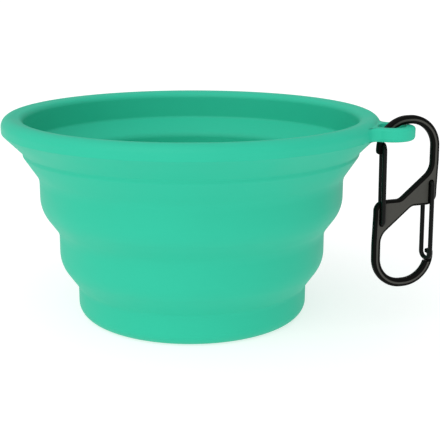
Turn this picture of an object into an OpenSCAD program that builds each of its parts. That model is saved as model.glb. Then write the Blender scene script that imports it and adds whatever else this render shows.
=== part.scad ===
// Collapsible silicone travel bowl with a moulded hanging eye and a two-gate clip.
// The moulding is divided at its fold lines: rigid rings that nest inside one another when the bowl is
// pressed flat, and the thin webs between them that turn inside out.

/* [Bowl] */
// Diameter over the rim
rim_d = 130; // [116:1:150]
// How far the rim overhangs the wall ring under it
rim_overhang = 6.7; // [4:0.1:9]
// Radial step from the upper wall ring to the rim's neck
neck_step = 5.3; // [4.5:0.1:8]
// Radial step from the lower wall ring to the upper wall ring
upper_step = 6.1; // [5:0.1:9]
// Radial step from the foot to the lower wall ring
lower_step = 6.1; // [5:0.1:9]
// Thickness of the rigid wall rings
wall_t = 2.2; // [1.6:0.1:2.6]
// Thickness of the two lower folding webs
web_t = 1.5; // [1:0.1:2]
// Thickness of the top folding web
top_web_t = 2; // [1.4:0.1:2.2]
// Thickness of the floor
floor_t = 2.6; // [2:0.1:4]
// Fillet around the foot
foot_fillet = 4.4; // [2:0.1:6]

/* [Heights] */
// Height of the foot up to its crease
foot_h = 10.9; // [9:0.1:15]
// Rise of the lowest web
lower_web_h = 8.8; // [7:0.1:11]
// Height of the lower wall ring between its shoulder and its crease
lower_ring_h = 11.05; // [9:0.05:14]
// Rise of the middle web
middle_web_h = 8.6; // [7:0.1:11]
// Height of the upper wall ring between its shoulder and its crease
upper_ring_h = 10.75; // [9:0.05:14]
// Rise of the top web
top_web_h = 8.1; // [7:0.1:11]
// Straight part of the neck under the rim
neck_h = 1.2; // [0.8:0.1:3]
// Rise of the flared underside of the rim
flare_h = 6.8; // [5:0.1:9]

/* [Rim and eye] */
// Height of the rim's outer face, up to its unrounded edge
rim_band_h = 5.7; // [4.5:0.1:7]
// Radial width of the rim's top
rim_w = 7.3; // [5.5:0.1:9]
// How far the rim's top slopes down towards the inside
rim_dip = 1.4; // [0.4:0.1:2]
// Rounding of the rim's upper outer edge
rim_round = 3.2; // [1:0.1:3.8]
// Rounding of the rim's inner edge
rim_inner_round = 2.2; // [1:0.1:3]
// How far the upper ring's inner face runs on up behind the top web
bead_h = 4.7; // [0:0.1:5.5]
// Bend at the top of that face
bead_round = 3.2; // [1:0.1:4]
// Height of the face, down to where the ring grows thicker
face_h = 3.5; // [2.5:0.1:5]
// How much thicker the upper ring is from there down
ring_bead = 2; // [0:0.1:2.4]
// Rounding of both edges of that step
bead_edge = 0.8; // [0.3:0.1:1.2]
// Diameter of the hole in the hanging eye
eye_hole_d = 10; // [9:0.1:12]
// Radial thickness of the eye around its hole
eye_wall = 3; // [2.4:0.1:4]
// Distance of the eye's centre outside the rim's edge
eye_reach = 4; // [3.4:0.1:6]
// Thickness of the eye
eye_t = 4.5; // [3.4:0.1:4.9]
// Bevel around both ends of the eye's hole
eye_round = 0.9; // [0.4:0.1:1.4]
// Fillet where the eye meets the rim
eye_root_fillet = 3; // [1:0.1:5]

/* [Clip] */
// Length of the clip
clip_len = 58.6; // [50:0.1:66]
// Width of the clip over its two bars
clip_w = 23.4; // [20:0.1:26]
// How far each hook's nose is set in from the clip's edge
nose_set = 0.9; // [0.2:0.1:1.2]
// Width of the clip's bars
bar_w = 2.8; // [1.8:0.1:3.2]
// Thickness of the clip's plate
plate_t = 2.7; // [2.4:0.1:3.4]
// Straight stretch between the two bends of each hook
hook_flat = 0.9; // [0.4:0.1:4]
// Height of the crossbar where the gates pivot
crossbar_h = 2.7; // [1.2:0.1:3.4]
// Turn of the clip around the eye, from the eye's own radial line
clip_turn = 35; // [20:1:50]
// Tilt of the hanging clip in its own plane
clip_tilt = 1.2; // [0:0.1:3]
// Diameter of the gate wire
wire_d = 1.55; // [1:0.05:1.6]
// Distance between the two legs of a gate, across the plate
gate_spread = 4.4; // [4.2:0.1:5]
// Sideways offset between the two legs of a gate, which makes it spring shut
leg_offset = 0.95; // [0:0.05:1]
// Height of each gate's pivot above the middle of the clip
pivot_rise = 6.3; // [5.5:0.1:8]
// Distance of each gate's pivot in from the clip's edge
pivot_inset = 3.3; // [2.7:0.1:3.6]
// Width of the recess that a leg lies in
slot_w = 2.1; // [1.8:0.1:2.4]
// Depth of the recess that a leg lies in
slot_depth = 0.5; // [0.3:0.1:0.7]

/* [Clearances] */
// Gap between the clip's hook and the top of the eye
hang_gap = 0.3; // [0.2:0.05:0.5]
// Gap around a gate pin in its hole
pin_gap = 0.25; // [0.15:0.05:0.35]
// Gap between the gate's end and the hook's notch
nose_gap = 0.3; // [0.2:0.05:0.5]

/* [Hidden] */
$fn = 96;
silicone = [0.26, 0.80, 0.67];
black = [0.12, 0.12, 0.12];
overrun = 1;

// Radii of the wall rings
rim_r = rim_d / 2;
rim_inner_r = rim_r - rim_w;
neck_r = rim_r - rim_overhang;
upper_r = neck_r - neck_step;
lower_r = upper_r - upper_step;
foot_r = lower_r - lower_step;

// Heights of the creases and shoulders
lower_shoulder_z = foot_h + lower_web_h;
lower_crease_z = lower_shoulder_z + lower_ring_h;
upper_shoulder_z = lower_crease_z + middle_web_h;
upper_crease_z = upper_shoulder_z + upper_ring_h;
neck_shoulder_z = upper_crease_z + top_web_h;
neck_crease_z = neck_shoulder_z + neck_h;
rim_z = neck_crease_z + flare_h;
top_z = rim_z + rim_band_h;

// The moulding is divided a little above each shoulder, where the bend is half done
shoulder_share = 0.12;
foot_top_z = foot_h;
lower_ring_z = lower_shoulder_z + shoulder_share * lower_web_h;
upper_ring_z = upper_shoulder_z + shoulder_share * middle_web_h;
neck_z = neck_shoulder_z + shoulder_share * neck_h;

// Bend radii, each limited by the straight stretches beside it
function bend(tight_share, a, b) = tight_share * min(a, b);
foot_crease_r = bend(0.35, foot_h, lower_web_h);
lower_bend_r = bend(1.2, lower_web_h, lower_ring_h);
lower_crease_r = bend(0.8, lower_ring_h, middle_web_h);
upper_bend_r = bend(1.35, middle_web_h, upper_ring_h);
upper_crease_r = bend(0.82, upper_ring_h, top_web_h);
neck_bend_r = bend(1.2, neck_h, top_web_h);
neck_crease_r = bend(0.8, neck_h, flare_h);

// Corner of an outline at p between its neighbours a and b, rounded with radius r in n steps
function unit(v) = v / norm(v);
function rounded_corner(a, p, b, r, n) =
    let (u = unit(a - p), v = unit(b - p))
    let (half = acos(max(-1, min(1, u * v))) / 2)
    let (reach = r / tan(half), c = p + unit(u + v) * r / sin(half))
    let (q = p + u * reach - c, s = p + v * reach - c)
    let (start = atan2(q[1], q[0]), turn = atan2(s[1], s[0]) - start)
    let (swing = turn > 180 ? turn - 360 : turn < -180 ? turn + 360 : turn)
    [for (i = [0:n]) c + r * [cos(start + swing * i / n), sin(start + swing * i / n)]];

// Outline through corners given as [x, z, radius]
function xz(p) = [p[0], p[1]];
function rounded_outline(c, n = 8) =
    [for (i = [0:len(c) - 1])
        each (i == 0 || i == len(c) - 1 || c[i][2] == 0) ? [xz(c[i])]
            : rounded_corner(xz(c[i - 1]), xz(c[i]), xz(c[i + 1]), c[i][2], n)];

// How far a web's inner corners lie below its outer ones, so that the web is as thick as t
function web_drop(t, rise, step) = (wall_t * rise - t * norm([rise, step])) / step;
lower_drop = web_drop(web_t, lower_web_h, lower_step);
middle_drop = web_drop(web_t, middle_web_h, upper_step);
top_drop = web_drop(top_web_t, top_web_h, neck_step);
// The top web's inner face runs on up to the rim's inner face
inner_shoulder_rise = (rim_inner_r - upper_r + wall_t) * top_web_h / neck_step;
// The upper ring's inner face, and the thicker part below it
bead_z = upper_crease_z - top_drop + bead_h;
bead_r = upper_r - wall_t - ring_bead;

// Section of the whole wall: outer corners going up, then inner corners going down
under_inset = 0.25;
outer_corners = [
    [0, 0, 0],
    [foot_r, 0, foot_fillet],
    [foot_r, foot_h, foot_crease_r],
    [lower_r, lower_shoulder_z, lower_bend_r],
    [lower_r, lower_crease_z, lower_crease_r],
    [upper_r, upper_shoulder_z, upper_bend_r],
    [upper_r, upper_crease_z, upper_crease_r],
    [neck_r, neck_shoulder_z, neck_bend_r],
    [neck_r, neck_crease_z, neck_crease_r],
    [rim_r - under_inset, rim_z, 0],
    [rim_r, rim_z + under_inset, 0],
    [rim_r, top_z, rim_round],
];
inner_corners = [
    [rim_inner_r, top_z - rim_dip, rim_inner_round],
    [rim_inner_r, upper_crease_z - top_drop + inner_shoulder_rise, neck_bend_r],
    [upper_r - wall_t, bead_z, bead_round],
    [upper_r - wall_t, bead_z - face_h, bead_edge],
    [bead_r, bead_z - face_h - ring_bead, bead_edge],
    [bead_r, upper_shoulder_z - middle_drop - ring_bead * middle_web_h / upper_step, upper_bend_r],
    [lower_r - wall_t, lower_crease_z - middle_drop, lower_crease_r],
    [lower_r - wall_t, lower_shoulder_z - lower_drop, lower_bend_r],
    [foot_r - wall_t, foot_h - lower_drop, foot_crease_r],
    [foot_r - wall_t, floor_t, foot_fillet - wall_t / 2],
    [0, floor_t, 0],
];
wall_section = rounded_outline(concat(outer_corners, inner_corners));

// Part of the moulding between two heights
module moulding_slice(z0, z1) {
    rotate_extrude()
        intersection() {
            polygon(wall_section);
            translate([0, z0]) square([rim_d, z1 - z0]);
        }
}

module foot_cup() {
    color(silicone) moulding_slice(0, foot_top_z);
}

module lower_web() {
    color(silicone) moulding_slice(foot_top_z, lower_ring_z);
}

module lower_ring() {
    color(silicone) moulding_slice(lower_ring_z, lower_crease_z);
}

module middle_web() {
    color(silicone) moulding_slice(lower_crease_z, upper_ring_z);
}

module upper_ring() {
    color(silicone) moulding_slice(upper_ring_z, upper_crease_z);
}

module top_web() {
    color(silicone) moulding_slice(upper_crease_z, neck_z);
}

// Hanging eye, level with the rim's outer face
eye_hole_r = eye_hole_d / 2;
eye_r = eye_hole_r + eye_wall;
eye_x = rim_r + eye_reach;
eye_drop = 0.6;
eye_z = rim_z - eye_drop;
eye_top_z = eye_z + eye_t;

// Fillet circle between the rim and the eye; it starts a little inside the rim's edge
root_bite = 0.9;
root_far = rim_r - root_bite + eye_root_fillet;
root_near = eye_r + eye_root_fillet;
root_x = (root_far * root_far - root_near * root_near + eye_x * eye_x) / (2 * eye_x);
root_y = sqrt(root_far * root_far - root_x * root_x);
root_back_x = rim_r - rim_w / 2;
root_turn = atan2(root_y, root_x);
ring_turn = atan2(root_y, root_x - eye_x);
arc_steps = 14;
function arc(c, r, a0, a1, n = arc_steps) =
    [for (i = [0:n]) c + r * [cos(a0 + (a1 - a0) * i / n), sin(a0 + (a1 - a0) * i / n)]];
eye_outline = concat(
    [[root_back_x, -root_y]],
    arc([root_x, -root_y], eye_root_fillet, 180 - root_turn, 180 - ring_turn),
    arc([eye_x, 0], eye_r, -ring_turn, ring_turn, 4 * arc_steps),
    arc([root_x, root_y], eye_root_fillet, 180 + ring_turn, 180 + root_turn),
    [[root_back_x, root_y]]);

module eye() {
    difference() {
        translate([0, 0, eye_z]) linear_extrude(eye_t) polygon(eye_outline);
        translate([eye_x, 0, eye_z - overrun]) cylinder(r = eye_hole_r, h = eye_t + 2 * overrun);
        for (side = [0, 1])
            translate([eye_x, 0, eye_z + side * eye_t])
                mirror([0, 0, side])
                    translate([0, 0, -eye_round])
                        cylinder(r1 = eye_hole_r + 2 * eye_round, r2 = eye_hole_r - eye_round / 2,
                                 h = 2.5 * eye_round);
    }
}

module rim() {
    color(silicone)
        union() {
            moulding_slice(neck_z, top_z);
            eye();
        }
}

// Clip outline in its own plane: x across, y up, the same after half a turn about the middle
clip_top = clip_len / 2;
bar_x = clip_w / 2;
nose_x = bar_x - nose_set;
bend_r = (bar_x + nose_x - hook_flat) / 2;
bend_y = clip_top - bend_r;
bend_right_x = bar_x - bend_r;
bend_left_x = bend_r - nose_x;
inner_r = bend_r - bar_w;

// Places on the hook's nose and on the crossbar, as shares of the bar's width and the crossbar's height
nose_len_share = 0.55;
lip_share = 0.8;
notch_share = 0.5;
notch_top_share = 0.95;
nose_tip_y = bend_y - nose_len_share * bar_w;
nose_in_x = -nose_x + lip_share * bar_w;
notch_x = -nose_x + notch_share * bar_w;
lip_y = nose_tip_y + bar_w / 2;
notch_y = lip_y + (1 - notch_share) * bar_w / 2;
notch_top_y = bend_y + notch_top_share * bar_w;
tip_round = bar_w / 3;
shelf_y = crossbar_h / 2;
corner_share = 1.25;
corner_round = corner_share * bar_w;
diagonal_top_share = 0.36;
diagonal_foot_share = 0.19;
diagonal_top = [bar_x - bar_w, diagonal_top_share * clip_top];
diagonal_foot = [-diagonal_foot_share * bar_x, shelf_y];
waist_share = 0.12;
straight_share = 0.47;
waist = [bar_x - bar_w / 6, waist_share * clip_top];
upper_half = concat(
    rounded_corner([0, -shelf_y], [waist[0], -shelf_y], waist, corner_round, arc_steps),
    [waist, [bar_x, straight_share * clip_top]],
    arc([bend_right_x, bend_y], bend_r, 0, 90),
    arc([bend_left_x, bend_y], bend_r, 90, 180),
    rounded_corner([-nose_x, bend_y], [-nose_x, nose_tip_y], [nose_in_x, nose_tip_y], tip_round, arc_steps),
    rounded_corner([-nose_x, nose_tip_y], [nose_in_x, nose_tip_y], [nose_in_x, lip_y], tip_round, arc_steps),
    [[nose_in_x, lip_y], [notch_x, notch_y], [notch_x, notch_top_y]],
    arc([bend_left_x, bend_y], inner_r, 160, 90),
    arc([bend_right_x, bend_y], inner_r, 90, 0),
    rounded_corner([bar_x - bar_w, bend_y], diagonal_top, diagonal_foot, 2 * bar_w, arc_steps),
    rounded_corner(diagonal_top, diagonal_foot, [-bar_x, shelf_y], bar_w, arc_steps));
clip_outline = concat(upper_half, -upper_half);

// Gate geometry: two parallel legs, a round end across the nose and a pin in each face
wire_r = wire_d / 2;
pin_share = 0.9;
pin_r = pin_share * wire_r;
half_spread = gate_spread / 2;
half_offset = leg_offset / 2;
span_r = norm([gate_spread, leg_offset]) / 2;
span_turn = atan2(leg_offset, gate_spread);
gate_x = bar_x - pivot_inset;
pin_y = pivot_rise;
leg_end_y = -(notch_y + nose_gap - span_r + wire_r);
// The round end and the pins are a little thinner and start inside the legs
bend_lift = wire_r / 4;
half_plate = plate_t / 2;
slot_floor = half_plate - slot_depth;
hole_floor_share = 0.1;
hole_floor = slot_floor * hole_floor_share;
pin_inner = hole_floor + pin_gap / 2;
pin_hole_r = pin_r + pin_gap;
nose_t_share = 0.75;
nose_half_t = half_plate * nose_t_share;

// Puts a shape drawn in the clip's own plane, with its front face towards -Y, where the clip hangs
hang_r = eye_hole_r + eye_wall / 2;
hang_x = eye_x + hang_r * cos(clip_turn);
hang_y = hang_r * sin(clip_turn);
hang_z = eye_z + eye_t / 2;
clip_z = eye_top_z + hang_gap - (clip_top - bar_w);
module clip_frame() {
    translate([hang_x, hang_y, clip_z]) rotate([0, -clip_tilt, clip_turn]) children();
}

// One leg's recess, open at the crossbar's edge, and its pin hole; front is 1 or -1
module leg_cut(front) {
    x = gate_x + front * half_offset;
    run = pin_y + shelf_y + overrun;
    translate([x, -front * half_plate, pin_y])
        rotate([90 * front, 0, 0]) {
            translate([0, 0, -slot_depth]) cylinder(d = slot_w, h = slot_depth + overrun);
            translate([-slot_w / 2, front > 0 ? -run : 0, -slot_depth])
                cube([slot_w, run, slot_depth + overrun]);
            translate([0, 0, hole_floor - half_plate]) cylinder(r = pin_hole_r, h = half_plate);
        }
}

// Thinner flanks where a gate's legs pass the nose
module nose_cut() {
    size = [2 * bar_w, overrun + half_plate, notch_top_y - nose_tip_y + overrun];
    for (front = [1, -1])
        translate([-nose_x - bar_w / 2, front > 0 ? -nose_half_t - size[1] : nose_half_t,
                   nose_tip_y - overrun])
            cube(size);
}

module clip_body() {
    color(black)
        clip_frame()
            difference() {
                rotate([90, 0, 0]) linear_extrude(plate_t, center = true) polygon(clip_outline);
                for (half_turn = [0, 180])
                    rotate([0, half_turn, 0]) {
                        leg_cut(1);
                        leg_cut(-1);
                        nose_cut();
                    }
            }
}

// A wire gate of the lower loop; the upper loop's is the same after half a turn in the plate's plane
module wire_gate() {
    $fn = 48;
    color(black)
        union() {
            for (front = [1, -1])
                translate([gate_x + front * half_offset, -front * half_spread, 0]) {
                    translate([0, 0, leg_end_y]) cylinder(r = wire_r, h = pin_y + wire_r - leg_end_y);
                    translate([0, 0, pin_y])
                        rotate([-90 * front, 0, 0]) cylinder(r = pin_r, h = half_spread - pin_inner);
                }
            translate([gate_x, 0, leg_end_y + bend_lift])
                rotate([0, 0, -90 + span_turn])
                    rotate([-90, 0, 0])
                        rotate_extrude(angle = 180) translate([span_r, 0]) circle(r = pin_r);
        }
}

module lower_gate() {
    clip_frame() wire_gate();
}

module upper_gate() {
    clip_frame() rotate([0, 180, 0]) wire_gate();
}

foot_cup();
lower_web();
lower_ring();
middle_web();
upper_ring();
top_web();
rim();
clip_body();
upper_gate();
lower_gate();
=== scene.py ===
# Collapsible silicone travel bowl with a moulded hanging eye and a two-gate clip.
# Sizes are in millimetres and turns in degrees, but names that end in _M are in metres; make_object and
# the calls that use MM turn millimetres into metres.
import math

import bmesh
import bpy
from mathutils import Matrix, Vector


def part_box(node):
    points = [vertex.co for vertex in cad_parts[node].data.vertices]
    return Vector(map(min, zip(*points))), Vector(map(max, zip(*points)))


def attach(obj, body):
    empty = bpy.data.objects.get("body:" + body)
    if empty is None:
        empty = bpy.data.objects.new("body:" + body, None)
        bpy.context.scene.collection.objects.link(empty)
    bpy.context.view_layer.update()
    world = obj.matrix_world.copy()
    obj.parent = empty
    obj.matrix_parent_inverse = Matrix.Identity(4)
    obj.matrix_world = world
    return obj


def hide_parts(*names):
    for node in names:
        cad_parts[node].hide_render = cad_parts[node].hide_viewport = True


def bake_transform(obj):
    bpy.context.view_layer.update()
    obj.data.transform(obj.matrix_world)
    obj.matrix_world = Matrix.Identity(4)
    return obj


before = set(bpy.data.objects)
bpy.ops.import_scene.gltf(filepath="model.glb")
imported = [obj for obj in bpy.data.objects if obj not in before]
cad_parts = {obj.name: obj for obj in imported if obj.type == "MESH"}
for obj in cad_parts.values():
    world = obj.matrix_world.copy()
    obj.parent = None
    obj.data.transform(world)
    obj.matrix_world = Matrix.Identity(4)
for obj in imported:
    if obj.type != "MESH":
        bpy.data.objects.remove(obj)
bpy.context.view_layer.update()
MM = 0.001

# Camera, fitted to the rim, the creases and the foot in the photograph
PHOTO_WIDTH_PX = 440
FOCAL_PX = 968.3
SENSOR_WIDTH = 36
CAMERA_AT = (114.57, -314.77, 119.19)
CAMERA_TURN = 18.302
CAMERA_PITCH = -14.516
CAMERA_ROLL = 0.151
CAMERA_NEAR_M = 0.01
CAMERA_FAR_M = 100

# Radii of the bowl's wall, and its thicknesses
RIM_R = 65
RIM_INNER_R = 57.7
NECK_R = 58.3
UPPER_R = 53.0
LOWER_R = 46.9
FOOT_R = 40.8
WALL_T = 2.2
WEB_T = 1.5
TOP_WEB_T = 2
FLOOR_T = 2.6

# Heights of the shoulders and creases, and of the rim's lower and upper corners before they are rounded;
# its top slopes down inwards by RIM_DIP
FOOT_Z = 10.9
LOWER_SHOULDER_Z = 19.7
LOWER_CREASE_Z = 30.75
UPPER_SHOULDER_Z = 39.35
UPPER_CREASE_Z = 50.1
NECK_SHOULDER_Z = 58.2
NECK_CREASE_Z = 59.4
RIM_Z = 66.2
RIM_TOP_Z = 71.9
RIM_DIP = 1.4

# Bend radii, the same on both faces of the wall
FOOT_FILLET = 4.4
FLOOR_FILLET = 3.3
FOOT_CREASE_R = 3.1
LOWER_BEND_R = 10.6
LOWER_CREASE_R = 6.9
UPPER_BEND_R = 11.6
UPPER_CREASE_R = 6.6
NECK_BEND_R = 1.45
NECK_CREASE_R = 0.95
UNDER_R = 0.35
RIM_ROUND = 3.2
RIM_INNER_ROUND = 2.2

# Inside of the upper ring: its flat face, up to BEAD_H above the crease, and the thicker part below it
BEAD_H = 4.7
BEAD_ROUND = 3.2
FACE_H = 3.5
RING_BEAD = 2
BEAD_EDGE = 0.8

# Hanging eye, whose round hole stops at the rim's outer face; HOLE_BLEND is how sharply the two meet
EYE_X = 69
EYE_R = 8
EYE_HOLE_R = 5
EYE_Z = 65.6
EYE_TOP_Z = 70.1
EYE_FILLET = 3
EYE_ROUND = 0.9
EYE_UNDER_ROUND = 1.3
HOLE_ROUND = 0.45
HOLE_BLEND = 12

# Fineness of the bowl's meshes: turns and steps between points, and counts along the eye
COLUMN_TURN = 1.5
ARC_TURN = 2
ROW_STEP = 0.6
FLOOR_STEP = 4
EYE_ROWS = 33
EYE_ROOT_STEPS = 24
EYE_FILLET_STEPS = 18
EYE_RING_STEPS = 56
EYE_EDGE_TURN = 9
BORE_TURN = 15
EYE_FACE_SHARES = (0.12, 0.88)

# Points closer than MERGE, or CLIP_MERGE on the clip's outline, are one point; TINY counts as no length
MERGE = 1e-4
CLIP_MERGE = 0.02
TINY = 1e-6

# Clip, from the plate's middle: half its length, its half widths at the bar and at the hook's nose, its
# bends, and how it hangs in the eye
CLIP_TOP = 29.3
BAR_X = 11.7
NOSE_X = 10.8
BAR_W = 2.8
PLATE_T = 2.7
BEND_R = 10.8
SHELF_Z = 1.35
CORNER_R = 3.5
CLIP_TURN = 35
CLIP_TILT = 1.2
HANG_GAP = 0.3

# Where the outline bends, as shares of the clip's half length, half width and bar
WAIST_Z = 0.12 * CLIP_TOP
SIDE_Z = 0.47 * CLIP_TOP
INNER_SIDE_Z = 0.36 * CLIP_TOP
SHELF_X = 0.19 * BAR_X
WAIST_IN = BAR_W / 6
WAIST_R = 30

# Depths and heights at the hook's nose, and of the notch in it for the gate's round end
TIP_DROP = 0.55 * BAR_W
LIP_IN = 0.8 * BAR_W
LIP_H = BAR_W / 2
NOTCH_IN = 0.5 * BAR_W
NOTCH_SLOPE = 0.25 * BAR_W
NOTCH_H = 0.95 * BAR_W
NOSE_OVER = 0.2

# Rounding of the plate's edges. Along the hooks it reaches further in, by a share that grows to HOOK_EXTRA
# between HOOK_START and HOOK_FULL of the clip's half length; MITRE_LEAST limits it at sharp corners.
CLIP_ROUND = 0.9
HOOK_EXTRA = 0.2
HOOK_START = 0.25
HOOK_FULL = 0.55
MITRE_LEAST = 0.5

# The hook's tip and thinner nose, and the recesses and blind holes that hold the gates
TIP_R = 1.1
NOSE_T = 2.0
SLOT_W = 2.1
SLOT_DEPTH = 0.5
SLOT_END_Z = -2 * SHELF_Z
PIVOT_X = 8.4
PIVOT_Z = 6.3
PIN_HOLE_R = 1.03
HOLE_FLOOR_Y = 0.1
CUT_OVER = 1

# Fineness of the clip and the gates, and how flat a face is that counts as the plate's own
SIDE_TURN = 4
BEND_TURN = 3
TIP_TURN = 10
EDGE_STEPS = 6
SLOT_TURN = 12
PIN_HOLE_TURN = 15
ELBOW_TURN = 10
GATE_END_TURN = 7
LEG_STEP = 2
FLATNESS = 0.9999
FLAT_DEPTH = 0.01
CRISP_TURN = 28

# Gates
WIRE_R = 0.775
GATE_SPREAD = 4.4
LEG_OFFSET = 0.95
NOSE_GAP = 0.3
ELBOW_R = 0.9
PIN_INNER_Y = 0.3
WIRE_SIDES = 24

# Light: the floor's glow, which rises to GLOW_PEAK at GLOW_AT, the studio, which is brightest towards one
# heading and elevation, and a wide sun. Headings run from 0 at the front to 90 on the right.
FLOOR_REACH_M = 12
FLOOR_GREY = 0.5
FLOOR_GLOW = 0.62
GLOW_PEAK = 0.76
GLOW_AT = (-110, -230, 0)
GLOW_REACH = 300
WORLD_TOWARDS = (-10, 25)
WORLD_DARK = 0.45
WORLD_BRIGHT = 1.0
SUN_TOWARDS = (-8, 42)
SUN_STRENGTH = 0.68
SUN_SPREAD = 60

# Silicone: the two tints of its mottling, and its grain
TINTS = ((0.017, 0.485, 0.31), (0.021, 0.51, 0.33))
SILICONE_ROUGHNESS = (0.5, 0.6)
SILICONE_IOR = 1.34
MOTTLE_SCALE = 60
MOTTLE_DETAIL = 3
GRAIN_SCALE = 2500
GRAIN_DETAIL = 2
GRAIN_DEPTH_M = 5e-6

# Black coating: colour, roughness and gloss of the plate's edges, its flat faces and the wires; the flat
# faces' lighter grey is a painted reflection of the studio light
CLIP_LOOK = ((0.002, 0.002, 0.0015), 0.45, 0.06)
CLIP_FACE_PAINTED_REFLECTION_LOOK = ((0.046, 0.045, 0.038), 0.5, 0.3)
WIRE_LOOK = ((0.003, 0.003, 0.0028), 0.32, 0.12)
PEEL_SCALE = 1400
PEEL_DETAIL = 3
PEEL_DEPTH_M = 8e-6
PEEL_ROUGHNESS = 0.05

# Stretch of a noise pattern that is used, and the sockets of a colour mix
NOISE_SPAN = (0.3, 0.7)
MIX_FACTOR = 0
MIX_FIRST = 6
MIX_SECOND = 7
MIX_RESULT = 2


def polar(turn, radius, centre=(0, 0)):
    """The point at that turn and radius about a centre."""
    a = math.radians(turn)
    return centre[0] + radius * math.cos(a), centre[1] + radius * math.sin(a)


def arc(centre, radius, start, end, step=ARC_TURN):
    """Points along an arc, both ends included."""
    n = max(2, math.ceil(abs(end - start) / step))
    return [polar(start + (end - start) * k / n, radius, centre) for k in range(n + 1)]


def direction(a, b):
    """The direction from one point to another, of length 1."""
    length = math.dist(a, b)
    return (b[0] - a[0]) / length, (b[1] - a[1]) / length


def without_repeats(points, least=MERGE):
    """The same line without points that lie on the one before."""
    out = [points[0]]
    out += [b for a, b in zip(points, points[1:]) if math.dist(a, b) > least]
    return out


def rounded(corners, step=ARC_TURN):
    """The line through corners given as (x, z, radius), with its corners turned into arcs."""
    points = [corners[0][:2]]
    for (ax, az, _), (x, z, radius), (bx, bz, _) in zip(corners, corners[1:], corners[2:]):
        if radius == 0:
            points.append((x, z))
            continue
        u, v = direction((x, z), (ax, az)), direction((x, z), (bx, bz))
        half = math.acos(max(-1, min(1, u[0] * v[0] + u[1] * v[1]))) / 2
        m = direction((0, 0), (u[0] + v[0], u[1] + v[1]))
        centre = (x + m[0] * radius / math.sin(half), z + m[1] * radius / math.sin(half))
        reach = radius / math.tan(half)
        ends = [(x + w[0] * reach - centre[0], z + w[1] * reach - centre[1]) for w in (u, v)]
        start, end = (math.degrees(math.atan2(dz, dx)) for dx, dz in ends)
        swing = (end - start + 180) % 360 - 180
        points += arc(centre, radius, start, start + swing, step)
    return without_repeats(points + [corners[-1][:2]])


def subdivided(points, step):
    """The same line with no stretch longer than step."""
    out = [points[0]]
    for a, b in zip(points, points[1:]):
        n = max(1, math.ceil(math.dist(a, b) / step - TINY))
        out += [tuple(p + (q - p) * k / n for p, q in zip(a, b)) for k in range(1, n + 1)]
    return out


def evenly(points, count):
    """That many points spread evenly along a line."""
    lengths = [0]
    for a, b in zip(points, points[1:]):
        lengths.append(lengths[-1] + math.dist(a, b))
    out = []
    for k in range(count):
        s = lengths[-1] * k / (count - 1)
        i = max(j for j in range(len(points) - 1) if lengths[j] <= s + TINY)
        t = (s - lengths[i]) / (lengths[i + 1] - lengths[i])
        out.append(tuple(p + (q - p) * t for p, q in zip(points[i], points[i + 1])))
    return out


def between(line, start, end):
    """The stretch of a line that only rises or only falls, from height start to height end."""
    def point_at(z):
        for a, b in zip(line, line[1:]):
            if a[1] != b[1] and min(a[1], b[1]) <= z <= max(a[1], b[1]):
                t = (z - a[1]) / (b[1] - a[1])
                return a[0] + (b[0] - a[0]) * t, z
    low, high = sorted((start, end))
    inside = [p for p in line if low < p[1] < high]
    return without_repeats([point_at(start)] + inside + [point_at(end)])


def web_drop(thickness, rise, step):
    """How far a web's inner corners lie below its outer ones."""
    return (WALL_T * rise - thickness * math.hypot(rise, step)) / step


def wall_lines():
    """Section of the bowl: its outer line up to the crest of the rim, and its inner line down again."""
    low = web_drop(WEB_T, LOWER_SHOULDER_Z - FOOT_Z, LOWER_R - FOOT_R)
    middle = web_drop(WEB_T, UPPER_SHOULDER_Z - LOWER_CREASE_Z, UPPER_R - LOWER_R)
    rise, step = NECK_SHOULDER_Z - UPPER_CREASE_Z, NECK_R - UPPER_R
    top = web_drop(TOP_WEB_T, rise, step)
    inner_foot, inner_low, inner_up = (r - WALL_T for r in (FOOT_R, LOWER_R, UPPER_R))
    inner_shoulder = UPPER_CREASE_Z - top + (RIM_INNER_R - inner_up) * rise / step
    bead_z, bead_r = UPPER_CREASE_Z - top + BEAD_H, inner_up - RING_BEAD
    bead_drop = RING_BEAD * (UPPER_SHOULDER_Z - LOWER_CREASE_Z) / (UPPER_R - LOWER_R)
    line = rounded([
        (0, 0, 0), (FOOT_R, 0, FOOT_FILLET), (FOOT_R, FOOT_Z, FOOT_CREASE_R),
        (LOWER_R, LOWER_SHOULDER_Z, LOWER_BEND_R), (LOWER_R, LOWER_CREASE_Z, LOWER_CREASE_R),
        (UPPER_R, UPPER_SHOULDER_Z, UPPER_BEND_R), (UPPER_R, UPPER_CREASE_Z, UPPER_CREASE_R),
        (NECK_R, NECK_SHOULDER_Z, NECK_BEND_R), (NECK_R, NECK_CREASE_Z, NECK_CREASE_R),
        (RIM_R, RIM_Z, UNDER_R), (RIM_R, RIM_TOP_Z, RIM_ROUND),
        (RIM_INNER_R, RIM_TOP_Z - RIM_DIP, RIM_INNER_ROUND),
        (RIM_INNER_R, inner_shoulder, NECK_BEND_R), (inner_up, bead_z, BEAD_ROUND),
        (inner_up, bead_z - FACE_H, BEAD_EDGE), (bead_r, bead_z - FACE_H - RING_BEAD, BEAD_EDGE),
        (bead_r, UPPER_SHOULDER_Z - middle - bead_drop, UPPER_BEND_R),
        (inner_low, LOWER_CREASE_Z - middle, LOWER_CREASE_R),
        (inner_low, LOWER_SHOULDER_Z - low, LOWER_BEND_R), (inner_foot, FOOT_Z - low, FOOT_CREASE_R),
        (inner_foot, FLOOR_T, FLOOR_FILLET), (0, FLOOR_T, 0)])
    crest = max(range(len(line)), key=lambda i: line[i][1])
    return line[:crest + 1], line[crest:]


OUTER, INNER = wall_lines()
CREST_Z = OUTER[-1][1]


def new_object(name, data):
    """Puts a mesh, lamp or camera into the scene."""
    obj = bpy.data.objects.new(name, data)
    bpy.context.scene.collection.objects.link(obj)
    return obj


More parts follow.
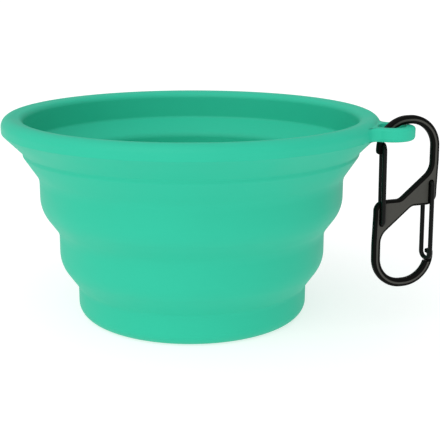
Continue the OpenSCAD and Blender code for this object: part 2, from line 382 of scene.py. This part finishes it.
def make_object(name, points, faces, sharp=()):
    """A smooth mesh from points in millimetres; sharp holds pairs of points whose edge stays crisp."""
    mesh = bpy.data.meshes.new(name)
    mesh.from_pydata([Vector(p) * MM for p in points], [], faces)
    bm = bmesh.new()
    bm.from_mesh(mesh)
    bmesh.ops.recalc_face_normals(bm, faces=bm.faces)
    for face in bm.faces:
        face.smooth = True
    bm.verts.ensure_lookup_table()
    for a, b in sharp:
        bm.edges.get((bm.verts[a], bm.verts[b])).smooth = False
    bm.to_mesh(mesh)
    bm.free()
    return new_object(name, mesh)


def ring_edges(ring):
    """Pairs of neighbours around a closed row of points."""
    return [(ring[k - 1], ring[k]) for k in range(len(ring))]


def strip_faces(a, b, closed=True):
    """Quads between two rows of points."""
    start = 0 if closed else 1
    return [[a[k - 1], a[k], b[k], b[k - 1]] for k in range(start, len(a))]


def revolve(line, turns, closed=True, skipped=lambda row, column: False):
    """Turns a line around the bowl's axis; gives points, faces and the rings of point numbers."""
    points, rings, faces = [], [], []
    for r, z in line:
        first = len(points)
        if r < TINY:
            points.append((0, 0, z))
            rings.append([first] * len(turns))
        else:
            points += [(*polar(turn, r), z) for turn in turns]
            rings.append(list(range(first, first + len(turns))))
    count = len(line) if closed else len(line) - 1
    for i in range(count):
        for k, quad in enumerate(strip_faces(rings[i], rings[(i + 1) % len(line)])):
            if not skipped(i, k - 1):
                faces.append(list(dict.fromkeys(quad)))
    return points, faces, rings


def even_turns():
    """Turns of the columns of points around the bowl."""
    return [COLUMN_TURN * k for k in range(round(360 / COLUMN_TURN))]


def wall_piece(name, low, high):
    """The wall between two heights, with a flat end at each."""
    outer = subdivided(between(OUTER, low, high), ROW_STEP)
    inner = subdivided(between(INNER, high, low), ROW_STEP)
    points, faces, rings = revolve(outer + inner, even_turns())
    ends = (0, len(outer) - 1, len(outer), len(outer) + len(inner) - 1)
    return make_object(name, points, faces, [e for row in ends for e in ring_edges(rings[row])])


def foot_piece(name, high):
    """The foot and the bowl's floor."""
    outer = [p for p in OUTER if p[1] < high] + between(OUTER, high - ROW_STEP, high)[-1:]
    inner = between(INNER, high, high - ROW_STEP)[:1] + [p for p in INNER if p[1] < high]
    outer, inner = subdivided(outer, FLOOR_STEP), subdivided(inner, FLOOR_STEP)
    points, faces, rings = revolve(outer + inner, even_turns(), closed=False)
    sharp = ring_edges(rings[len(outer) - 1]) + ring_edges(rings[len(outer)])
    return make_object(name, points, faces, sharp)


def eye_plan():
    """Edge of the eye from one side of the rim round to the other, and the turn at which it leaves the rim.
    The edge holds (point, outward direction, share); share grows from 0 on the rim to 1 on the eye."""
    far, near = RIM_R + EYE_FILLET, EYE_R + EYE_FILLET
    x = (far ** 2 - near ** 2 + EYE_X ** 2) / (2 * EYE_X)
    y = math.sqrt(far ** 2 - x ** 2)
    rim_turn = math.degrees(math.atan2(y, x))
    ring_turn = math.degrees(math.atan2(y, x - EYE_X))
    root = []
    for k in range(EYE_FILLET_STEPS + 1):
        t = k / EYE_FILLET_STEPS
        turn = 180 - rim_turn + (rim_turn - ring_turn) * t
        root.append((polar(turn, EYE_FILLET, (x, -y)), polar(turn, -1), t * t * (3 - 2 * t)))
    ring_turns = [-ring_turn + 2 * ring_turn * k / EYE_RING_STEPS for k in range(1, EYE_RING_STEPS)]
    ring = [(polar(turn, EYE_R, (EYE_X, 0)), polar(turn, 1), 1) for turn in ring_turns]
    mirrored = [((p[0], -p[1]), (n[0], -n[1]), share) for p, n, share in reversed(root)]
    return root + ring + mirrored, rim_turn


def hole_reach(turn):
    """Radius of the eye's hole in one direction; it stops at the rim's outer face."""
    c = math.cos(math.radians(turn))
    across = (EYE_X * c) ** 2 - EYE_X ** 2 + RIM_R ** 2
    if c > 0 or across <= 0:
        return EYE_HOLE_R
    to_rim = -EYE_X * c - math.sqrt(across)
    return (EYE_HOLE_R ** -HOLE_BLEND + to_rim ** -HOLE_BLEND) ** (-1 / HOLE_BLEND)


def appended(points, new):
    """Adds new points to a list; gives their numbers."""
    points.extend(new)
    return list(range(len(points) - len(new), len(points)))


def eye_edge(points, plan, band):
    """The eye's edge, in columns from its lower face to its upper face, that grow out of the rim's band."""
    section = rounded([(EYE_UNDER_ROUND, EYE_Z, 0), (0, EYE_Z, EYE_UNDER_ROUND),
                       (0, EYE_TOP_Z, EYE_ROUND), (EYE_ROUND, EYE_TOP_Z, 0)], EYE_EDGE_TURN)
    section = evenly(section, EYE_ROWS)
    columns = []
    for (x, y), (nx, ny), share in plan[1:-1]:
        inset = [(RIM_R - r) * (1 - share) + s * share for (r, _), (s, _) in zip(band, section)]
        height = [z * (1 - share) + s * share for (_, z), (_, s) in zip(band, section)]
        columns.append(appended(points, [(x - nx * d, y - ny * d, z) for d, z in zip(inset, height)]))
    return columns


def eye_faces(points, upper, lower):
    """The eye's upper face, hole and lower face, in rows around the hole from one outline to the other."""
    bearings = [math.degrees(math.atan2(points[i][1], points[i][0] - EYE_X)) for i in upper]
    bore = rounded([(HOLE_ROUND, EYE_TOP_Z, 0), (0, EYE_TOP_Z, HOLE_ROUND), (0, EYE_Z, HOLE_ROUND),
                    (HOLE_ROUND, EYE_Z, 0)], BORE_TURN)
    hole = [[(*polar(turn, hole_reach(turn) + inset, (EYE_X, 0)), z) for turn in bearings]
            for inset, z in bore]

    def face_row(outline, hole_row, share):
        return appended(points, [tuple(p + (q - p) * share for p, q in zip(points[i], h))
                                 for i, h in zip(outline, hole_row)])

    rows = [upper] + [face_row(upper, hole[0], s) for s in EYE_FACE_SHARES]
    rows += [appended(points, row) for row in hole]
    return rows + [face_row(lower, hole[-1], s) for s in reversed(EYE_FACE_SHARES)] + [lower]


def rim_piece(name, low):
    """The rim and its hanging eye as one closed mesh, whose eye grows out of the rim's outer face."""
    plan, rim_turn = eye_plan()
    near_steps, far_steps = EYE_ROOT_STEPS, round((360 - 2 * rim_turn) / COLUMN_TURN)
    turns = [-rim_turn + 2 * rim_turn * k / near_steps for k in range(near_steps)]
    turns += [rim_turn + (360 - 2 * rim_turn) * k / far_steps for k in range(far_steps)]
    under = subdivided(between(OUTER, low, EYE_Z), ROW_STEP)
    band = evenly(between(OUTER, EYE_Z, EYE_TOP_Z), EYE_ROWS)
    over = between(OUTER, EYE_TOP_Z, CREST_Z) + between(INNER, CREST_Z, low)[1:]
    line = under + band[1:] + subdivided(over, ROW_STEP)[1:]
    first, last = len(under) - 1, len(under) + EYE_ROWS - 2
    points, faces, rings = revolve(
        line, turns, skipped=lambda row, column: first <= row < last and 0 <= column < near_steps)
    sides = [[rings[row][k] for row in range(first, last + 1)] for k in (0, near_steps)]
    edge = [sides[0]] + eye_edge(points, plan, band) + [sides[1]]
    for a, b in zip(edge, edge[1:]):
        faces += strip_faces(a, b, closed=False)
    root = range(near_steps - 1, 0, -1)
    upper = [column[-1] for column in edge] + [rings[last][k] for k in root]
    lower = [column[0] for column in edge] + [rings[first][k] for k in root]
    rows = eye_faces(points, upper, lower)
    for a, b in zip(rows, rows[1:]):
        faces += strip_faces(a, b)
    return make_object(name, points, faces, ring_edges(rings[0]) + ring_edges(rings[-1]))


# Places along the clip's hook, in the clip's own plane: x across, z up, and the front face towards -y
BEND_Z = CLIP_TOP - BEND_R
INNER_R = BEND_R - BAR_W
RIGHT_BEND = (BAR_X - BEND_R, BEND_Z)
LEFT_BEND = (BEND_R - NOSE_X, BEND_Z)
TIP_Z = BEND_Z - TIP_DROP
LIP_X = -NOSE_X + LIP_IN
LIP_Z = TIP_Z + LIP_H
NOTCH_X = -NOSE_X + NOTCH_IN
NOTCH_Z = LIP_Z + NOTCH_SLOPE
NOTCH_TOP_Z = BEND_Z + NOTCH_H
WAIST_X = BAR_X - WAIST_IN


def clip_place():
    """Carries the clip's own plane to where it hangs in the eye."""
    hang_r = (EYE_R + EYE_HOLE_R) / 2
    x, y = polar(CLIP_TURN, hang_r, (EYE_X, 0))
    z = EYE_TOP_Z + HANG_GAP - (CLIP_TOP - BAR_W)
    turn = Matrix.Rotation(math.radians(CLIP_TURN), 4, "Z")
    return Matrix.Translation((x, y, z)) @ turn @ Matrix.Rotation(math.radians(-CLIP_TILT), 4, "Y")


def in_clip(points, half_turn=False):
    """Points of the clip's own plane where it hangs, first turned about the plate's middle if asked."""
    place, s = clip_place(), -1 if half_turn else 1
    return [place @ Vector((s * x, y, s * z)) for x, y, z in points]


def clip_outline():
    """Outline of the clip, anticlockwise; its lower half is its upper half after half a turn."""
    upper = rounded([(0, -SHELF_Z, 0), (WAIST_X, -SHELF_Z, CORNER_R), (WAIST_X, WAIST_Z, WAIST_R),
                     (BAR_X, SIDE_Z, 0)], SIDE_TURN)[1:]
    upper += arc(RIGHT_BEND, BEND_R, 0, 90, BEND_TURN) + arc(LEFT_BEND, BEND_R, 90, 180, BEND_TURN)
    upper += rounded([(-NOSE_X, BEND_Z, 0), (-NOSE_X, TIP_Z, TIP_R), (BAR_W - NOSE_X, TIP_Z, TIP_R),
                      (BAR_W - NOSE_X, BEND_Z, 0)], TIP_TURN)
    upper += arc(LEFT_BEND, INNER_R, 180, 90, BEND_TURN) + arc(RIGHT_BEND, INNER_R, 90, 0, BEND_TURN)
    upper += rounded([(BAR_X - BAR_W, BEND_Z, 0), (BAR_X - BAR_W, INNER_SIDE_Z, 2 * BAR_W),
                      (-SHELF_X, SHELF_Z, BAR_W), (-BAR_X, SHELF_Z, 0)], SIDE_TURN)[:-1]
    whole = without_repeats(upper + [(-x, -z) for x, z in upper], CLIP_MERGE)
    return whole if math.dist(whole[0], whole[-1]) > CLIP_MERGE else whole[:-1]


def inward(outline, inset):
    """An anticlockwise outline drawn in by inset, and further along the hooks."""
    out = []
    for i, p in enumerate(outline):
        along = (abs(p[1]) / CLIP_TOP - HOOK_START) / (HOOK_FULL - HOOK_START)
        extra = 1 + HOOK_EXTRA * min(1, max(0, along))
        u, v = direction(outline[i - 1], p), direction(p, outline[(i + 1) % len(outline)])
        m = direction((0, 0), (-u[1] - v[1], u[0] + v[0]))
        reach = inset * extra / max(MITRE_LEAST, u[0] * m[1] - u[1] * m[0])
        out.append((p[0] + m[0] * reach, p[1] + m[1] * reach))
    return out


def plate_faces(levels, count):
    """Faces of a stack of outlines with that many points each, closed at both ends."""
    rows = [list(range(i * count, (i + 1) * count)) for i in range(levels)]
    faces = [rows[0], rows[-1]]
    for a, b in zip(rows, rows[1:]):
        faces += strip_faces(a, b)
    return faces


def cut(obj, outline, front, depth, half_turn):
    """Cuts a shape from one face of the plate down to a depth, measured from the plate's middle."""
    levels = (-front * depth, -front * PLATE_T)
    points = in_clip([(x, y, z) for y in levels for x, z in outline], half_turn)
    tool = make_object("cutter", points, plate_faces(len(levels), len(outline)))
    modifier = obj.modifiers.new("cut", "BOOLEAN")
    modifier.operation, modifier.solver, modifier.object = "DIFFERENCE", "EXACT", tool
    graph = bpy.context.evaluated_depsgraph_get()
    mesh = bpy.data.meshes.new_from_object(obj.evaluated_get(graph))
    obj.modifiers.clear()
    obj.data = mesh
    bpy.data.objects.remove(tool)


def across_plate():
    """The direction through the plate, from its front face to its back."""
    return clip_place().to_3x3() @ Vector((0, 1, 0))


def sharpen(obj, across):
    """Marks edges crisp where the faces turn sharply, or where a rounding meets the plate's flat face."""
    bm = bmesh.new()
    bm.from_mesh(obj.data)
    for edge in bm.edges:
        if len(edge.link_faces) == 2:
            a, b = (abs(f.normal.dot(across)) > FLATNESS for f in edge.link_faces)
            edge.smooth = a == b and math.degrees(edge.calc_face_angle()) < CRISP_TURN
    bm.to_mesh(obj.data)
    bm.free()


def clip_piece(name):
    """The plate with its rounded edges, the recesses that the gates' legs lie in and its thinner noses."""
    half = PLATE_T / 2
    quarter = [polar(90 * k / EDGE_STEPS, CLIP_ROUND) for k in range(EDGE_STEPS + 1)]
    levels = [(CLIP_ROUND - dx, half - CLIP_ROUND + dy) for dx, dy in quarter]
    levels = [(inset, -y) for inset, y in reversed(levels)] + levels
    outline = clip_outline()
    points = in_clip([(x, y, z) for inset, y in levels for x, z in inward(outline, inset)])
    obj = make_object(name, points, plate_faces(len(levels), len(outline)))
    low, high = TIP_Z - CUT_OVER, NOTCH_TOP_Z + NOSE_OVER
    left, right = -NOSE_X - CUT_OVER, BAR_W - NOSE_X + CUT_OVER
    nose = [(left, low), (right, low), (right, high), (left, high)]
    notch = [(LIP_X, low), (right, low), (right, NOTCH_TOP_Z), (NOTCH_X, NOTCH_TOP_Z),
             (NOTCH_X, NOTCH_Z), (LIP_X, LIP_Z)]
    for half_turn in (False, True):
        cut(obj, notch, 1, -PLATE_T, half_turn)
        for front in (1, -1):
            x = PIVOT_X + front * LEG_OFFSET / 2
            slot = arc((x, PIVOT_Z), SLOT_W / 2, 0, 180, SLOT_TURN)
            slot += [(x - SLOT_W / 2, SLOT_END_Z), (x + SLOT_W / 2, SLOT_END_Z)]
            pin_hole = arc((x, PIVOT_Z), PIN_HOLE_R, 0, 360 - PIN_HOLE_TURN, PIN_HOLE_TURN)
            cut(obj, slot, front, half - SLOT_DEPTH, half_turn)
            cut(obj, pin_hole, front, HOLE_FLOOR_Y, half_turn)
            cut(obj, nose, front, NOSE_T / 2, half_turn)
    sharpen(obj, across_plate())
    return obj


def mark_painted_reflection_faces(obj, material):
    """Gives the plate's two flat faces their own lighter grey, a painted reflection; its edges and recesses
    keep the first one.
    """
    obj.data.materials.append(material)
    middle, across = clip_place().translation, across_plate()
    for face in obj.data.polygons:
        depth = abs((face.center / MM - middle).dot(across))
        if depth > PLATE_T / 2 - FLAT_DEPTH and abs(face.normal.dot(across)) > FLATNESS:
            face.material_index = 1


def gate_path():
    """Centre line of the lower gate: pin, leg, round end, leg and pin."""
    half_spread, half_offset = GATE_SPREAD / 2, LEG_OFFSET / 2
    span_r = math.hypot(half_spread, half_offset)
    end_z = -(NOTCH_Z + NOSE_GAP - span_r + WIRE_R)

    def leg(front):
        x = PIVOT_X + front * half_offset
        elbow = arc((half_spread - ELBOW_R, PIVOT_Z - ELBOW_R), ELBOW_R, 90, 0, ELBOW_TURN)
        side = [(PIN_INNER_Y, PIVOT_Z)] + elbow + [(half_spread, end_z)]
        return [(x, -front * y, z) for y, z in subdivided(side, LEG_STEP)]

    end = [(PIVOT_X + half_offset * c, -half_spread * c, end_z - span_r * s)
           for c, s in arc((0, 0), 1, 0, 180, GATE_END_TURN)[1:-1]]
    return leg(1) + end + leg(-1)[::-1]


def wire_piece(name, path, half_turn):
    """A round wire along a path in the clip's own plane."""
    line = [Vector(p) for p in path]
    side = Vector((1, 0, 0))
    points = []
    for i, p in enumerate(line):
        along = (line[min(i + 1, len(line) - 1)] - line[max(i - 1, 0)]).normalized()
        side = (side - along * side.dot(along)).normalized()
        other = along.cross(side)
        circle = [polar(360 * k / WIRE_SIDES, WIRE_R) for k in range(WIRE_SIDES)]
        points += [tuple(p + side * a + other * b) for a, b in circle]
    faces = plate_faces(len(line), WIRE_SIDES)
    sharp = [edge for ring in faces[:2] for edge in ring_edges(ring)]
    return make_object(name, in_clip(points, half_turn), faces, sharp)


def new_material(name):
    """A node material, its tree and its shader, with object coordinates to pattern it by."""
    material = bpy.data.materials.new(name)
    material.use_nodes = True
    tree = material.node_tree
    return material, tree, tree.nodes["Principled BSDF"], tree.nodes.new("ShaderNodeTexCoord")


def add_noise(tree, coords, scale, detail):
    """A noise pattern over a piece; a larger scale is finer."""
    noise = tree.nodes.new("ShaderNodeTexNoise")
    noise.inputs["Scale"].default_value = scale
    noise.inputs["Detail"].default_value = detail
    tree.links.new(coords.outputs["Object"], noise.inputs["Vector"])
    return noise


def add_range(tree, source, span, new_span, target, kind="LINEAR"):
    """Carries a value that runs over one span to one that runs over another."""
    node = tree.nodes.new("ShaderNodeMapRange")
    node.interpolation_type = kind
    for name, value in zip(("From Min", "From Max", "To Min", "To Max"), (*span, *new_span)):
        node.inputs[name].default_value = value
    tree.links.new(source, node.inputs["Value"])
    tree.links.new(node.outputs["Result"], target)


def add_vector_math(tree, operation, coords, socket, vector):
    """Compares each place on a piece, or each direction of the studio, with one vector."""
    node = tree.nodes.new("ShaderNodeVectorMath")
    node.operation = operation
    tree.links.new(coords.outputs[socket], node.inputs[0])
    node.inputs[1].default_value = vector
    return node


def add_bump(tree, source, depth, shader):
    """Lets a pattern raise the surface by a depth in metres."""
    bump = tree.nodes.new("ShaderNodeBump")
    bump.inputs["Distance"].default_value = depth
    tree.links.new(source.outputs["Fac"], bump.inputs["Height"])
    tree.links.new(bump.outputs["Normal"], shader.inputs["Normal"])


def silicone_material():
    """Matte moulded silicone: a fine even grain and a little mottling."""
    material, tree, shader, coords = new_material("silicone")
    mottle = add_noise(tree, coords, MOTTLE_SCALE, MOTTLE_DETAIL)
    tint = tree.nodes.new("ShaderNodeMix")
    tint.data_type = "RGBA"
    for socket, colour in zip((MIX_FIRST, MIX_SECOND), TINTS):
        tint.inputs[socket].default_value = (*colour, 1)
    tree.links.new(mottle.outputs["Fac"], tint.inputs[MIX_FACTOR])
    tree.links.new(tint.outputs[MIX_RESULT], shader.inputs["Base Color"])
    add_range(tree, mottle.outputs["Fac"], NOISE_SPAN, SILICONE_ROUGHNESS, shader.inputs["Roughness"])
    shader.inputs["IOR"].default_value = SILICONE_IOR
    grain = add_noise(tree, coords, GRAIN_SCALE, GRAIN_DETAIL)
    add_bump(tree, grain, GRAIN_DEPTH_M, shader)
    return material


def black_material(name, colour, roughness, gloss):
    """Black coated metal: satin, with the fine peel of its coating."""
    material, tree, shader, coords = new_material(name)
    shader.inputs["Base Color"].default_value = (*colour, 1)
    shader.inputs["Specular IOR Level"].default_value = gloss
    peel = add_noise(tree, coords, PEEL_SCALE, PEEL_DETAIL)
    spread = (roughness - PEEL_ROUGHNESS, roughness + PEEL_ROUGHNESS)
    add_range(tree, peel.outputs["Fac"], NOISE_SPAN, spread, shader.inputs["Roughness"])
    add_bump(tree, peel, PEEL_DEPTH_M, shader)
    return material


def dress(piece, node, material):
    """Gives a piece its material and hides the CAD node that it stands in for."""
    piece.data.materials.clear()
    piece.data.materials.append(material)
    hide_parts(node)


def heights(node):
    """Lowest and highest point of a CAD node, in millimetres."""
    return [corner[2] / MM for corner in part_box(node)]


def make_bowl():
    """Rigid rings ride on their bodies; each web is a fixed piece between the ring below it and the ring
    above it.
    """
    material = silicone_material()
    rings = {
        "foot_cup": (foot_piece("bowl_foot", heights("foot_cup")[1]), "base"),
        "lower_ring": (wall_piece("bowl_lower_ring", *heights("lower_ring")), "lower_wall"),
        "upper_ring": (wall_piece("bowl_upper_ring", *heights("upper_ring")), "upper_wall"),
        "rim": (rim_piece("bowl_rim", heights("rim")[0]), "rim"),
    }
    for node, (piece, body) in rings.items():
        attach(piece, body)
        dress(piece, node, material)
    webs = (("lower_web", "base", "lower_wall"), ("middle_web", "lower_wall", "upper_wall"),
            ("top_web", "upper_wall", "rim"))
    for node, below, above in webs:
        low, high = heights(node)
        web = wall_piece("bowl_" + node, low, high)
        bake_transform(web)
        dress(web, node, material)


def make_clip():
    """The clip's body and its two gates, which are one wire, the second after half a turn."""
    plate = clip_piece("clip_plate")
    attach(plate, "clip")
    dress(plate, "clip_body", black_material("clip", *CLIP_LOOK))
    # The flat faces' lighter grey material is a painted reflection, not a different coating
    mark_painted_reflection_faces(plate, black_material("clip_face_painted_reflection", *CLIP_FACE_PAINTED_REFLECTION_LOOK))
    wire = black_material("wire", *WIRE_LOOK)
    for node, half_turn in (("lower_gate", False), ("upper_gate", True)):
        gate = wire_piece(node + "_wire", gate_path(), half_turn)
        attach(gate, node)
        dress(gate, node, wire)


def make_floor():
    """A white table that also glows, and most in front of the bowl on its left."""
    mesh = bpy.data.meshes.new("floor")
    corners = [(x * FLOOR_REACH_M, y * FLOOR_REACH_M, 0) for x, y in ((-1, -1), (1, -1), (1, 1), (-1, 1))]
    mesh.from_pydata(corners, [], [(0, 1, 2, 3)])
    floor = new_object("floor", mesh)
    material, tree, shader, coords = new_material("floor")
    shader.inputs["Base Color"].default_value = (FLOOR_GREY, FLOOR_GREY, FLOOR_GREY, 1)
    shader.inputs["Roughness"].default_value = 1
    shader.inputs["Specular IOR Level"].default_value = 0
    shader.inputs["Emission Color"].default_value = (1, 1, 1, 1)
    away = add_vector_math(tree, "DISTANCE", coords, "Object", Vector(GLOW_AT) * MM)
    add_range(tree, away.outputs["Value"], (0, GLOW_REACH * MM), (GLOW_PEAK, FLOOR_GLOW),
              shader.inputs["Emission Strength"], "SMOOTHSTEP")
    mesh.materials.append(material)


def towards(heading, elevation):
    """The direction to a light at that heading and elevation."""
    a, e = math.radians(heading), math.radians(elevation)
    return Vector((math.sin(a) * math.cos(e), -math.cos(a) * math.cos(e), math.sin(e)))


def make_sun():
    """The one lamp: a sun wide enough for soft shadows."""
    data = bpy.data.lights.new("key", "SUN")
    data.energy = SUN_STRENGTH
    data.angle = math.radians(SUN_SPREAD)
    turned = towards(*SUN_TOWARDS).to_track_quat("Z", "Y")
    new_object("key", data).matrix_world = turned.to_matrix().to_4x4()


def make_world():
    """A white studio, brighter in front on the left."""
    world = bpy.data.worlds.new("studio")
    bpy.context.scene.world = world
    world.use_nodes = True
    tree = world.node_tree
    shader = tree.nodes["Background"]
    shader.inputs["Color"].default_value = (1, 1, 1, 1)
    side = add_vector_math(tree, "DOT_PRODUCT", tree.nodes.new("ShaderNodeTexCoord"), "Generated",
                           towards(*WORLD_TOWARDS))
    add_range(tree, side.outputs["Value"], (-1, 1), (WORLD_DARK, WORLD_BRIGHT),
              shader.inputs["Strength"], "SMOOTHSTEP")


def make_camera():
    """The camera at the photograph's place."""
    data = bpy.data.cameras.new("camera")
    data.sensor_fit = "HORIZONTAL"
    data.sensor_width = SENSOR_WIDTH
    data.lens = SENSOR_WIDTH * FOCAL_PX / PHOTO_WIDTH_PX
    data.clip_start, data.clip_end = CAMERA_NEAR_M, CAMERA_FAR_M
    place = Matrix.Translation(Vector(CAMERA_AT) * MM)
    for turn, axis in ((CAMERA_TURN, "Z"), (90 + CAMERA_PITCH, "X"), (CAMERA_ROLL, "Z")):
        place = place @ Matrix.Rotation(math.radians(turn), 4, axis)
    camera = new_object("camera", data)
    camera.matrix_world = place
    bpy.context.scene.camera = camera


make_bowl()
make_clip()
make_floor()
make_world()
make_sun()
make_camera()
bpy.context.scene.view_settings.view_transform = "Standard"
